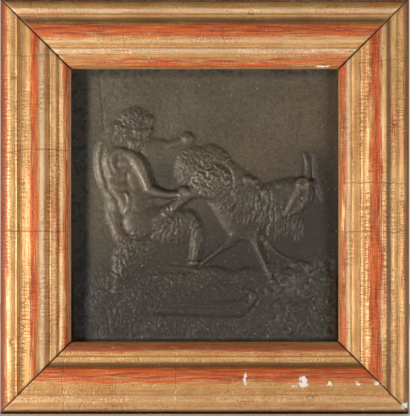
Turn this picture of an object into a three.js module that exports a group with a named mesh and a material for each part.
// A cast bronze relief plaque, a faun holding back a he-goat, in a mitred and gilded wooden frame.
//
// Millimetres, +X to the viewer's right, +Z up. The wall is the plane y = 0 and the front faces -Y.
// The origin is on the wall, at the middle of the top rail's back.
import * as THREE from 'three';

// ---------------------------------------------------------------- driving dimensions, frame
const SIGHT_WIDTH = 200;
const SIGHT_HEIGHT = 204;
const RAIL_WIDTH = 52.5;
const FRAME_WIDTH = SIGHT_WIDTH + 2 * RAIL_WIDTH;
const FRAME_HEIGHT = SIGHT_HEIGHT + 2 * RAIL_WIDTH;
const FRAME_CENTRE_Z = (RAIL_WIDTH - FRAME_HEIGHT) / 2;
const LIP_WIDTH = 6; // how far the rails reach in front of the plaque
const LIP_UNDERSIDE = 8; // height of the lip's underside over the wall
const MITRE_SETBACK_OUTSIDE = 0.25; // how far each rail end stops short of the mitre line
const MITRE_SETBACK_AT_SIGHT = 0.5;

// ---------------------------------------------------------------- driving dimensions, plaque
const SEAT_CLEARANCE = 0.3;
const PLATE_WIDTH = SIGHT_WIDTH + 2 * (LIP_WIDTH - SEAT_CLEARANCE);
const PLATE_HEIGHT = SIGHT_HEIGHT + 2 * (LIP_WIDTH - SEAT_CLEARANCE);
const PLATE_FRONT = LIP_UNDERSIDE - SEAT_CLEARANCE; // height of the plain field over the wall
const PLATE_BACK = 3.2;
const GRID_STEPS = 256; // the relief is worked out on a square grid of this many steps
const CARVING_TOLERANCE = 0.6; // how far the facets may stray from the worked-out surface
const PLAIN_BORDER = 1; // the strip along the sight edge that stays plain
const BORDER_CARE = 4; // how many times closer the facets that reach under the lip keep to it

// ---------------------------------------------------------------- finishes
const bronze = new THREE.MeshStandardMaterial({ color: 0x5a5040, roughness: 0.45, metalness: 0.8 });
const gilding = () => new THREE.MeshStandardMaterial({ color: 0xc98a4b, roughness: 0.5, metalness: 0.3 });

// ---------------------------------------------------------------- relief vocabulary
// Heights are over the plain field, places are from the middle of the plaque.
// A limb is a chain of round sections [x, z, half width, height]. A dome is an ellipse that rises
// from its rim height to its crown. Blend is how softly a form melts into the one beneath it.
const limb = (blend, ...stations) => ({ blend, stations: smoothed(stations) });
const dome = (blend, x, z, halfX, halfZ, turn, rim, crown) => (
  { blend, x, z, halfX, halfZ, turn: THREE.MathUtils.degToRad(turn), rim, crown });

/** Adds points to a chain of stations so that it bends as one smooth curve. */
function smoothed(stations, steps = 4) {
  const places = new THREE.CatmullRomCurve3(stations.map(([x, z, w]) => new THREE.Vector3(x, z, w)));
  const heights = new THREE.CatmullRomCurve3(stations.map(([, , , h]) => new THREE.Vector3(h, 0, 0)));
  const last = (stations.length - 1) * steps;
  return Array.from({ length: last + 1 }, (_, i) => {
    const place = places.getPoint(i / last);
    return [place.x, place.y, place.z, heights.getPoint(i / last).x];
  });
}

const EMPTY = -1000;
const gridSide = GRID_STEPS + 1;
const newLayer = (level = EMPTY) => new Float64Array(gridSide * gridSide).fill(level);
const gridX = (i) => (i / GRID_STEPS - 0.5) * PLATE_WIDTH;
const gridZ = (j) => (j / GRID_STEPS - 0.5) * PLATE_HEIGHT;

/** Calls visit(x, z, index) for the grid points inside a window. */
function overWindow(x0, x1, z0, z1, visit) {
  const column = (x) => (x / PLATE_WIDTH + 0.5) * GRID_STEPS;
  const row = (z) => (z / PLATE_HEIGHT + 0.5) * GRID_STEPS;
  const [left, right] = [Math.max(0, Math.ceil(column(x0))), Math.min(GRID_STEPS, Math.floor(column(x1)))];
  const [low, high] = [Math.max(0, Math.ceil(row(z0))), Math.min(GRID_STEPS, Math.floor(row(z1)))];
  for (let j = low; j <= high; j += 1) {
    for (let i = left; i <= right; i += 1) visit(gridX(i), gridZ(j), j * gridSide + i);
  }
}

/** The larger of two heights, with the crease between them filled over a width of blend. */
function meet(a, b, blend) {
  const overlap = Math.max(blend - Math.abs(a - b), 0);
  return Math.max(a, b) + (overlap * overlap) / (4 * blend);
}

function raiseDome(layer, { blend, x, z, halfX, halfZ, turn, rim, crown }) {
  const reach = Math.max(halfX, halfZ);
  const [cos, sin] = [Math.cos(turn), Math.sin(turn)];
  overWindow(x - reach, x + reach, z - reach, z + reach, (px, pz, index) => {
    const u = ((px - x) * cos + (pz - z) * sin) / halfX;
    const v = ((pz - z) * cos - (px - x) * sin) / halfZ;
    const inside = 1 - u * u - v * v;
    if (inside > 0) layer[index] = meet(layer[index], rim + (crown - rim) * Math.sqrt(inside), blend);
  });
}

/** The round section at the nearest place of each stretch of the chain; the highest one counts. */
function raiseLimb(layer, { blend, stations }) {
  const own = new Map();
  for (let k = 0; k + 1 < stations.length; k += 1) {
    const [x0, z0, w0, h0] = stations[k];
    const [x1, z1, w1, h1] = stations[k + 1];
    const reach = Math.max(w0, w1);
    const [dx, dz] = [x1 - x0, z1 - z0];
    const [left, right] = [Math.min(x0, x1) - reach, Math.max(x0, x1) + reach];
    const [low, high] = [Math.min(z0, z1) - reach, Math.max(z0, z1) + reach];
    overWindow(left, right, low, high, (px, pz, index) => {
      const along = ((px - x0) * dx + (pz - z0) * dz) / (dx * dx + dz * dz);
      const t = THREE.MathUtils.clamp(along, 0, 1);
      const away = Math.hypot(px - x0 - dx * t, pz - z0 - dz * t) / (w0 + (w1 - w0) * t);
      if (away >= 1) return;
      const height = (h0 + (h1 - h0) * t) * Math.sqrt(1 - away * away);
      own.set(index, Math.max(own.get(index) ?? EMPTY, height));
    });
  }
  own.forEach((height, index) => { layer[index] = meet(layer[index], height, blend); });
}

const raise = (layer, forms) => {
  forms.forEach((form) => (form.stations ? raiseLimb : raiseDome)(layer, form));
};

/** Lowers (or, with a negative depth, lifts) a layer along a line, with a bell-shaped section. */
function crease(layer, width, depth, ...points) {
  const line = smoothed(points.map(([x, z]) => [x, z, width, 0]));
  const nearest = new Map();
  for (let k = 0; k + 1 < line.length; k += 1) {
    const [x0, z0] = line[k];
    const [dx, dz] = [line[k + 1][0] - x0, line[k + 1][1] - z0];
    const reach = 2.5 * width;
    const [left, right] = [Math.min(x0, x0 + dx) - reach, Math.max(x0, x0 + dx) + reach];
    const [low, high] = [Math.min(z0, z0 + dz) - reach, Math.max(z0, z0 + dz) + reach];
    overWindow(left, right, low, high, (px, pz, index) => {
      const along = ((px - x0) * dx + (pz - z0) * dz) / (dx * dx + dz * dz);
      const t = THREE.MathUtils.clamp(along, 0, 1);
      const away = Math.hypot(px - x0 - dx * t, pz - z0 - dz * t);
      nearest.set(index, Math.min(nearest.get(index) ?? Infinity, away));
    });
  }
  nearest.forEach((away, index) => { layer[index] -= depth * Math.exp(-((away / width) ** 2)); });
}

/** An even scatter between 0 and 1 for lock number n, the same on every run. */
const scatter = (n) => {
  const value = Math.sin(n * 12.9898 + 4.1) * 43758.5453;
  return value - Math.floor(value);
};

/**
 * Covers an ellipse of a layer with locks of hair. The roots stand in staggered rows, and each lock
 * is a leaf-shaped ridge that runs its own way (flow, in degrees, may depend on the place) and bends.
 */
function comb(layer, { x, z, halfX, halfZ, turn = 0, flow, length, width, rise, bend = 0.3 }) {
  const pile = new Map();
  const tilt = THREE.MathUtils.degToRad(turn);
  const [rowStep, lockStep] = [length * 0.62, width * 1.75];
  const [rows, locks] = [Math.ceil(halfZ / rowStep), Math.ceil(halfX / lockStep)];
  let number = 0;
  for (let row = -rows; row <= rows; row += 1) {
    for (let lock = -locks; lock <= locks; lock += 1) {
      number += 1;
      const u = (lock + 0.5 * Math.abs(row % 2) + 0.4 * (scatter(number) - 0.5)) * lockStep;
      const v = (row + 0.4 * (scatter(number + 0.5) - 0.5)) * rowStep;
      if ((u / halfX) ** 2 + (v / halfZ) ** 2 > 1) continue;
      const rootX = x + u * Math.cos(tilt) - v * Math.sin(tilt);
      const rootZ = z + u * Math.sin(tilt) + v * Math.cos(tilt);
      const way = THREE.MathUtils.degToRad(flow(rootX, rootZ) + 26 * (scatter(number + 0.25) - 0.5));
      const side = number % 2 ? bend : -bend;
      sweepLock(pile, rootX, rootZ, way, length, width, rise * (0.75 + 0.5 * scatter(number + 0.75)), side);
    }
  }
  pile.forEach((height, index) => { if (layer[index] > 0) layer[index] += height; });
}

/** One lock: u runs from root to tip, v across; the crest is round and the tip is narrow. */
function sweepLock(pile, rootX, rootZ, way, length, width, rise, bend) {
  const [cos, sin] = [Math.cos(way), Math.sin(way)];
  const reach = length + width;
  overWindow(rootX - reach, rootX + reach, rootZ - reach, rootZ + reach, (px, pz, index) => {
    const u = ((px - rootX) * cos + (pz - rootZ) * sin) / length;
    if (u < 0 || u > 1) return;
    const middle = bend * length * u * (1 - u) * 1.6;
    const v = (pz - rootZ) * cos - (px - rootX) * sin - middle;
    const half = width * Math.sqrt(Math.min(1, u * 4 + 0.1)) * (1 - 0.8 * u * u);
    const inside = 1 - (v / half) ** 2;
    if (inside <= 0) return;
    const height = rise * Math.sqrt(inside) * (1 - 0.4 * u);
    pile.set(index, Math.max(pile.get(index) ?? 0, height));
  });
}

// ---------------------------------------------------------------- the ground
/** Rises from the plain field towards the lower edge, in low swells. */
function groundHeight(x, z) {
  const shore = -45 + 2.5 * Math.sin(x / 17) + 1.4 * Math.sin(x / 7.3 + 1);
  const rise = THREE.MathUtils.smoothstep(shore - z, -3, 14);
  return rise * (1.1 + 0.22 * Math.sin(x / 9 + z / 13) + 0.2 * Math.sin(x / 5.1 - z / 6.3));
}

const reed = [[-80, 99], [-78, 84], [-76.5, 70], [-76.3, 55]];
const rocks = [
  dome(1.6, -12, -66, 50, 15.5, -2, -0.3, 2.0),
  dome(0.8, 64, -55, 12, 8, 12, 0.3, 2.3),
  dome(0.6, 74, -48, 9, 6, -20, 0.3, 2.2),
  dome(0.6, 72, -65, 13, 7, 8, 0.4, 2.3),
  dome(0.6, 86, -59, 9, 8, 35, 0.3, 2.0),
  dome(0.6, 52, -66, 9, 6, 20, 0.4, 2.1),
  dome(0.8, 60, -78, 12, 6, -10, 0.4, 1.8),
  dome(1.0, -84, -70, 12, 7, 20, 0.2, 1.7),
];
const fallenForm = [
  limb(1.6, [-40, -77, 3.6, 2.0], [-22, -77, 4.8, 2.7], [0, -77.5, 5, 3], [18, -77.5, 5, 3.1],
    [28, -76, 4.6, 3.2], [34.5, -72, 3.6, 3.2], [35.8, -67.5, 2.6, 3.1],
    [32, -64.5, 2.5, 2.9], [28, -64.5, 2, 2.6]),
];

/** Blades of grass that fan out of one root. */
function grass(layer, x, z, blades, length) {
  const pile = new Map();
  for (let blade = 0; blade < blades; blade += 1) {
    const way = Math.PI * (0.25 + (0.5 * blade) / (blades - 1));
    const reach = length * (0.7 + 0.5 * scatter(blade + x));
    sweepLock(pile, x, z, way, reach, 1.2, 1.1, blade % 2 ? 0.2 : -0.2);
  }
  pile.forEach((height, index) => { layer[index] += height; });
}

// ---------------------------------------------------------------- the he-goat
const goatFarLegs = [
  limb(0.6, [17, -22, 7.5, 2.7], [9, -28, 5.6, 2.5], [3, -34, 4.2, 2.4], [-2, -40.5, 3.2, 2.2]),
  limb(0.6, [50, -25, 5.5, 2.4], [57, -34, 3.4, 2.4], [64, -40, 2.6, 2.3], [70, -44, 2.4, 2.1]),
];
const goatBody = [
  limb(2, [4, 27, 15, 3.2], [16, 14, 18.5, 3.7], [28, 4, 19.5, 3.8], [38, -3, 16.5, 3.5]),
  dome(2, 4, 30, 15.5, 15.5, 0, 0, 3.1),
  dome(2, -8, 31, 13.5, 14, 0, 0, 3),
  dome(2, -12, 26, 11, 13, 10, 0, 3),
  limb(2, [18, 0, 12, 3], [26, -11, 13, 3.3], [31, -17, 12, 3.3]),
  dome(2, 53, -7, 14, 21, 8, 0, 3),
  limb(2, [46, 3, 12.5, 3.3], [55, 7.5, 12, 3.3], [65, 12.5, 10.5, 3.5]),
];
const goatNearForeleg = [
  limb(0.9, [36, -21, 7, 3.8], [39.3, -29.5, 3.8, 3.5], [42.6, -38, 2.6, 3.2],
    [46, -47, 2.2, 3], [48.8, -54, 2, 2.9]),
  dome(0.3, 50, -57.5, 3, 2.6, -20, 0, 3.2),
];
const goatRaisedLeg = [
  dome(0.35, 5, 18.5, 14.2, 13.4, 0, 2.2, 4.7),
  limb(0.5, [-3, 14, 8, 4], [-11, 10.5, 5.2, 4.2], [-20, 4, 3.2, 4.2], [-26, -2, 4, 4.5]),
  limb(0.3, [-24, -1.5, 4, 4.5], [-30, -5.5, 5, 5], [-36, -10, 4.6, 5], [-39.5, -12, 3.4, 4.7]),
];
const goatHead = [
  dome(0.8, 66, 20, 5.5, 6, -30, 0, 4),
  limb(0.3, [71.5, 17.5, 7, 4.6], [69.5, 9, 6.6, 4.8], [65.5, 0.5, 5.2, 4.7], [61, -7, 3.4, 4.4]),
  dome(0.5, 74.5, 16, 4.6, 6.2, 10, 3, 5.2),
  dome(0.3, 73, 7.2, 1.9, 1.6, 10, 3.6, 5.3),
  limb(0.3, [78.5, 10.5, 2, 3.2], [82, 8.5, 2.4, 3], [85, 5.5, 1.3, 2.5]),
  limb(0.3, [75, 22, 1.9, 4.4], [76.6, 28.5, 1.7, 4], [76.6, 34, 1.3, 3.5], [75, 38.5, 0.8, 3]),
  limb(0.3, [79.3, 19, 2, 4.6], [80.8, 27, 1.6, 3.9], [81, 34, 1.2, 3.4], [80.4, 39, 0.7, 3]),
];

/** A soft mass of strands that hangs from the chin. */
function goatBeard(layer) {
  raise(layer, [dome(1, 68, -13, 6.5, 11, 20, 0, 2.6)]);
  const pile = new Map();
  const chin = [62, -9];
  for (let strand = 0; strand < 8; strand += 1) {
    const way = THREE.MathUtils.degToRad(-105 + 5.5 * strand);
    const length = 15 + 8 * scatter(strand + 0.3);
    const root = [chin[0] + 1.7 * strand, chin[1] + 1.3 * strand];
    sweepLock(pile, ...root, way, length, 1.7, 3, strand % 2 ? 0.15 : -0.15);
  }
  pile.forEach((height, index) => { layer[index] = meet(layer[index], height, 0.5); });
}

function carveGoat() {
  const layer = newLayer();
  raise(layer, goatFarLegs);
  raise(layer, goatBody);
  const flank = { x: 16, z: 6, halfX: 30, halfZ: 34, turn: -40 };
  comb(layer, { ...flank, flow: () => -124, length: 12, width: 2.3, rise: 0.8 });
  const shoulder = { x: 42, z: -6, halfX: 15, halfZ: 24 };
  comb(layer, { ...shoulder, flow: () => -118, length: 12, width: 2.3, rise: 0.9 });
  const chest = { x: 58, z: -12, halfX: 11, halfZ: 20 };
  comb(layer, { ...chest, flow: () => -90, length: 12, width: 2.2, rise: 0.7 });
  const rump = { x: -12, z: 28, halfX: 12, halfZ: 14 };
  comb(layer, { ...rump, flow: () => -160, length: 6, width: 2, rise: 0.6 });
  crease(layer, 1.2, 1, [48.5, 4], [47, -8], [45, -17], [44.3, -28]);
  raise(layer, goatNearForeleg);
  goatBeard(layer);
  raise(layer, goatRaisedLeg);
  const aroundThigh = (x, z) => THREE.MathUtils.radToDeg(Math.atan2(z - 17, x - 2)) + 62;
  const thigh = { x: 5, z: 18.5, halfX: 13, halfZ: 12.5 };
  comb(layer, { ...thigh, flow: aroundThigh, length: 7, width: 2, rise: 0.8, bend: 0.7 });
  raise(layer, goatHead);
  crease(layer, 0.8, 0.9, [58.5, -9.8], [63, -9], [67, -6.8]);
  crease(layer, 0.8, 0.8, [71.3, 5.4], [73, 4.4], [75, 5.4]);
  return layer;
}

// ---------------------------------------------------------------- the faun
const faunFarSide = [
  limb(0.7, [-43, 43.5, 7, 2.3], [-33, 45.6, 5.1, 2.5], [-27, 44.8, 3.9, 2.5], [-21, 46, 3.3, 2.7]),
  dome(0.3, -13.8, 49.3, 5.5, 5.3, 20, 0, 3.9),
  limb(1.5, [-66, 52, 12, 2.4], [-70, 40, 12.6, 2.9], [-70.5, 28, 12.6, 3],
    [-69, 18, 11, 2.9], [-66, 9, 9.6, 2.7]),
  limb(0.6, [-71, 9, 3, 1.6], [-71.2, -4, 3, 1.6], [-70.5, -16, 3.2, 1.6]),
  dome(0.8, -67.3, -0.3, 5.6, 10, 3, 0.5, 3.3),
  limb(0.8, [-66, -9, 5.6, 2.4], [-65.3, -17, 6, 2.6], [-62, -25, 7.5, 2.8]),
];
const faunFarLowerLeg = [
  limb(0.9, [-50, -28, 11, 2.8], [-57, -37, 12.5, 3.2], [-63, -46, 9.5, 3],
    [-67, -55, 5, 2.6], [-67, -61, 3.2, 2.3]),
  dome(0.3, -66.5, -64.5, 3.8, 2.8, -20, 0, 2.7),
];
const faunTrunk = [
  limb(1.5, [-56, 30, 8, 2.2], [-54, 18, 8.5, 2.2], [-52, 8, 10, 2.4], [-48, 1, 10, 2.8]),
  limb(1.2, [-66, 30, 10, 3.9], [-66.5, 22, 8.6, 4], [-65.8, 14, 7.4, 3.9],
    [-63.5, 6, 6, 3.7], [-58, -3, 6, 3.6]),
];
const faunShoulder = [
  dome(0.7, -64.3, 33, 10.4, 10.6, 0, 2.2, 4.4),
  dome(0.8, -63.2, 31.2, 4.2, 3.6, 0, 3.6, 4.9),
];
const faunNearLeg = [
  limb(1, [-52.5, 7, 6.8, 3.6], [-50, -3, 9.5, 4.2]),
  limb(0.8, [-44, -12, 12.4, 4.2], [-33, -15.5, 13, 4.2], [-22, -16.5, 12.5, 4.1], [-14, -12.5, 8.6, 3.9]),
  limb(0.8, [-12, -10, 6, 3.8], [-8.5, -18, 6, 3.6], [-7, -26, 5.6, 3.3],
    [-7, -34, 4.2, 3.1], [-8, -40, 3.5, 2.9]),
  dome(0.3, -8, -43, 4.8, 3, 0, 0, 3.2),
];
const faunNearHaunch = dome(0.4, -48, -12.8, 13.2, 12.8, 0, 1.6, 5);
const faunTail = limb(0.3, [-58.3, 9, 1.5, 4.3], [-57, 5, 2.3, 4.8], [-56.6, 1.5, 2.2, 4.8],
  [-55.2, -1.5, 1.6, 4.7]);
const faunNearArm = [
  limb(1, [-57.5, 36.5, 6.6, 4], [-52.5, 33.6, 6.9, 4.6], [-49.6, 28.5, 5.7, 4.8], [-45.5, 20.5, 4.7, 4.6],
    [-41.6, 12.8, 4.6, 4.5]),
  limb(0.8, [-41.5, 12, 5, 4.5], [-34, 9.3, 3.6, 4.3], [-26, 8, 2.9, 4.2], [-21, 8.2, 2.9, 4.3]),
  dome(0.4, -16.8, 8.9, 5, 4.8, -8, 1, 5.2),
];
const faunHead = [
  limb(1.5, [-58, 55, 8, 3.6], [-63, 49, 8.5, 3.3]),
  dome(0.8, -64, 57, 5, 6, 0, 0, 3.4),
  dome(0.8, -45.5, 55.5, 4.8, 7.2, 8, 0, 3.7),
  limb(0.5, [-42.3, 58.5, 1.9, 2.9], [-40.6, 55.6, 1.3, 3.1], [-41.8, 54.4, 1.2, 2.7]),
  dome(0.5, -50.5, 54.8, 4.6, 4.6, 0, 2, 4.3),
  dome(0.6, -53.2, 63, 12.6, 10.8, 8, 0, 4.4),
  dome(0.4, -42.4, 63.5, 4.4, 5.2, -10, 0, 4.3),
  dome(0.6, -52.6, 46.8, 7, 6.4, 0, 0.8, 4.4),
];

function carveFaun() {
  const layer = newLayer();
  raise(layer, faunFarSide);
  raise(layer, faunFarLowerLeg);
  const hock = { x: -57, z: -38, halfX: 12, halfZ: 17, turn: -30 };
  comb(layer, { ...hock, flow: () => -120, length: 8, width: 2, rise: 0.8 });
  raise(layer, faunTrunk);
  crease(layer, 1, 0.8, [-73.5, 14], [-69, 9.5], [-64.5, 3.5]);
  raise(layer, faunShoulder);
  crease(layer, 0.9, -0.7, [-65, 41], [-68.8, 39.6], [-70.2, 35.5], [-69.6, 31], [-67.5, 27.5]);
  raise(layer, faunNearLeg);
  const thigh = { x: -24, z: -19, halfX: 14, halfZ: 10.5 };
  comb(layer, { ...thigh, flow: () => -112, length: 7, width: 2, rise: 0.9 });
  raise(layer, [faunNearHaunch, faunTail]);
  return layer;
}

function carveHeadAndArm() {
  const layer = newLayer();
  raise(layer, faunHead);
  const aroundSkull = (x, z) => THREE.MathUtils.radToDeg(Math.atan2(z - 63, x + 53)) - 110;
  const hair = { x: -53, z: 64, halfX: 11.5, halfZ: 9.6 };
  comb(layer, { ...hair, flow: aroundSkull, length: 5.5, width: 1.8, rise: 0.8, bend: 0.7 });
  const beard = { x: -52.6, z: 46.8, halfX: 6, halfZ: 5.6 };
  comb(layer, { ...beard, flow: () => -100, length: 5, width: 1.7, rise: 0.7 });
  crease(layer, 0.8, 0.9, [-46.2, 71.5], [-46.2, 67.5], [-45.4, 63.8]);
  raise(layer, faunNearArm);
  const [fingers, fingerStep] = [3, 2.3];
  for (let finger = 0; finger < fingers; finger += 1) {
    const x = -17.6 + fingerStep * finger;
    crease(layer, 0.5, 0.7, [x - 0.6, 12.8], [x, 9], [x - 0.3, 5.2]);
  }
  return layer;
}

// ---------------------------------------------------------------- the whole relief
function carveRelief() {
  const relief = newLayer(0);
  relief.forEach((_, index) => {
    const [x, z] = [gridX(index % gridSide), gridZ(Math.floor(index / gridSide))];
    relief[index] = groundHeight(x, z);
  });
  raise(relief, rocks);
  crease(relief, 0.7, -0.4, ...reed);
  raise(relief, fallenForm);
  const tufts = [[-33, -57, 8, 10], [-22, -58, 7, 9], [-57, -80, 7, 7], [60, -84, 6, 7]];
  tufts.forEach((tuft) => grass(relief, ...tuft));
  const lay = (layer, blend) => relief.forEach((height, index) => {
    relief[index] = meet(height, layer[index], blend);
  });
  lay(carveGoat(), 0.4);
  lay(carveFaun(), 0.4);
  lay(carveHeadAndArm(), 0.35);
  relief.forEach((height, index) => {
    const [x, z] = [gridX(index % gridSide), gridZ(Math.floor(index / gridSide))];
    relief[index] = height * THREE.MathUtils.smoothstep(insideSight(x, z), PLAIN_BORDER, 4 * PLAIN_BORDER);
  });
  return relief;
}

/** How far a point of the plaque lies inside the frame's opening; negative under the lip. */
function insideSight(x, z) {
  return Math.min(SIGHT_WIDTH / 2 - Math.abs(x), SIGHT_HEIGHT / 2 - Math.abs(z));
}

/**
 * Facets for a square grid of heights. Right triangles are halved at the middle of their long side
 * wherever the surface strays further than the tolerance there, so flat places get few of them.
 */
function facetsOf(heights, tolerance) {
  const middles = new Float64Array(heights.length);
  const at = (x, z) => heights[z * gridSide + x];
  const canSplit = (a, c) => Math.abs(a[0] - c[0]) + Math.abs(a[1] - c[1]) > 1;
  let settled = false;
  const stray = (a, b, c) => {
    if (!canSplit(a, c)) return 0;
    const middle = [(a[0] + b[0]) / 2, (a[1] + b[1]) / 2];
    const index = middle[1] * gridSide + middle[0];
    const reachesUnderLip = [a, b, c].some(([i, j]) => insideSight(gridX(i), gridZ(j)) < 0);
    const care = reachesUnderLip ? BORDER_CARE : 1;
    const own = care * Math.abs((at(...a) + at(...b)) / 2 - heights[index]);
    const worst = Math.max(own, stray(c, a, middle), stray(b, c, middle));
    if (worst > middles[index]) {
      middles[index] = worst;
      settled = false;
    }
    return middles[index];
  };
  const facets = [];
  const split = (a, b, c) => {
    const middle = [(a[0] + b[0]) / 2, (a[1] + b[1]) / 2];
    if (canSplit(a, c) && middles[middle[1] * gridSide + middle[0]] > tolerance) {
      split(c, a, middle);
      split(b, c, middle);
    } else {
      facets.push([a, b, c]);
    }
  };
  const [low, high] = [0, GRID_STEPS];
  const halves = [[[low, low], [high, high], [high, low]], [[high, high], [low, low], [low, high]]];
  while (!settled) { // each pass carries splits over to the neighbours that share a long side
    settled = true;
    halves.forEach((half) => stray(...half));
  }
  halves.forEach((half) => split(...half));
  return facets;
}

/** The plaque: the carved front, a flat back, and a narrow side between them. */
function plaqueGeometry() {
  const relief = carveRelief();
  const positions = [];
  const front = ([i, j]) => [gridX(i), -PLATE_FRONT - relief[j * gridSide + i], gridZ(j)];
  const back = ([i, j]) => [gridX(i), -PLATE_BACK, gridZ(j)];
  const onEdge = ([i, j], [k, l]) => [[i, k], [j, l]].some(([m, n]) => m === n && m % GRID_STEPS === 0);
  const backCentre = [0, -PLATE_BACK, 0];
  facetsOf(relief, CARVING_TOLERANCE).forEach((corners) => {
    const [a, b, c] = corners;
    positions.push(...front(a), ...front(c), ...front(b));
    [[a, c], [c, b], [b, a]].filter(([from, to]) => onEdge(from, to)).forEach(([from, to]) => {
      positions.push(...front(to), ...front(from), ...back(from));
      positions.push(...front(to), ...back(from), ...back(to));
      positions.push(...back(to), ...back(from), ...backCentre);
    });
  });
  const geometry = new THREE.BufferGeometry();
  geometry.setAttribute('position', new THREE.Float32BufferAttribute(positions, 3));
  geometry.computeVertexNormals();
  return geometry;
}

// ---------------------------------------------------------------- the rails
/** The moulding's section: x runs from the outer edge to the sight edge, y is the height over the wall. */
function mouldingSection() {
  const section = new THREE.Shape();
  section.moveTo(0, 0);
  section.lineTo(0, 15.5);
  section.quadraticCurveTo(0.4, 24.2, 4.6, 26.4);
  section.quadraticCurveTo(8.8, 29.45, 13.4, 27.2);
  section.lineTo(13.8, 25.3);
  section.quadraticCurveTo(14.8, 24.3, 17, 25.2);
  section.quadraticCurveTo(20.8, 27.8, 25.2, 27.8);
  section.quadraticCurveTo(30.4, 27.8, 34.4, 22.8);
  section.quadraticCurveTo(35.8, 21.0, 37.4, 22.1);
  section.lineTo(41.8, 21.9);
  section.lineTo(42.6, 20.2);
  section.quadraticCurveTo(46.6, 21.6, 50.4, 19.2);
  section.lineTo(RAIL_WIDTH, 15.2);
  section.lineTo(RAIL_WIDTH, LIP_UNDERSIDE);
  section.lineTo(RAIL_WIDTH - LIP_WIDTH, LIP_UNDERSIDE);
  section.lineTo(RAIL_WIDTH - LIP_WIDTH, 0);
  return section;
}

/** One length of moulding, with both ends cut to the mitre a little short of the corner's diagonal. */
function railGeometry(length) {
  const geometry = new THREE.ExtrudeGeometry(mouldingSection(), {
    depth: length, steps: 1, bevelEnabled: false, curveSegments: 5,
  });
  const position = geometry.getAttribute('position');
  for (let i = 0; i < position.count; i += 1) {
    const across = position.getX(i);
    const opening = MITRE_SETBACK_AT_SIGHT - MITRE_SETBACK_OUTSIDE;
    const end = across + MITRE_SETBACK_OUTSIDE + (opening * across) / RAIL_WIDTH;
    position.setZ(i, position.getZ(i) === 0 ? end : length - end);
  }
  geometry.computeVertexNormals();
  return geometry;
}

/** A rail of the given length, lying at the given distance from the frame's middle, turned about Y. */
function rail(name, length, distance, quarterTurns) {
  const mesh = new THREE.Mesh(railGeometry(length), gilding());
  mesh.name = name;
  const inwards = new THREE.Vector3(0, 0, -1);
  const outOfWall = new THREE.Vector3(0, -1, 0);
  const alongRail = new THREE.Vector3(-1, 0, 0);
  mesh.quaternion.setFromRotationMatrix(new THREE.Matrix4().makeBasis(inwards, outOfWall, alongRail));
  mesh.position.set(length / 2, 0, distance);
  const side = new THREE.Group();
  side.rotation.y = (quarterTurns * Math.PI) / 2;
  side.add(mesh);
  return side;
}

// ---------------------------------------------------------------- the whole object
const plaque = new THREE.Mesh(plaqueGeometry(), bronze);
plaque.name = 'relief_plaque';

const framed = new THREE.Group();
framed.position.z = FRAME_CENTRE_Z;
framed.add(
  plaque,
  rail('frame_top_rail', FRAME_WIDTH, FRAME_HEIGHT / 2, 0),
  rail('frame_right_rail', FRAME_HEIGHT, FRAME_WIDTH / 2, 1),
  rail('frame_bottom_rail', FRAME_WIDTH, FRAME_HEIGHT / 2, 2),
  rail('frame_left_rail', FRAME_HEIGHT, FRAME_WIDTH / 2, 3),
);

const object = new THREE.Group();
object.add(framed);
export default object;
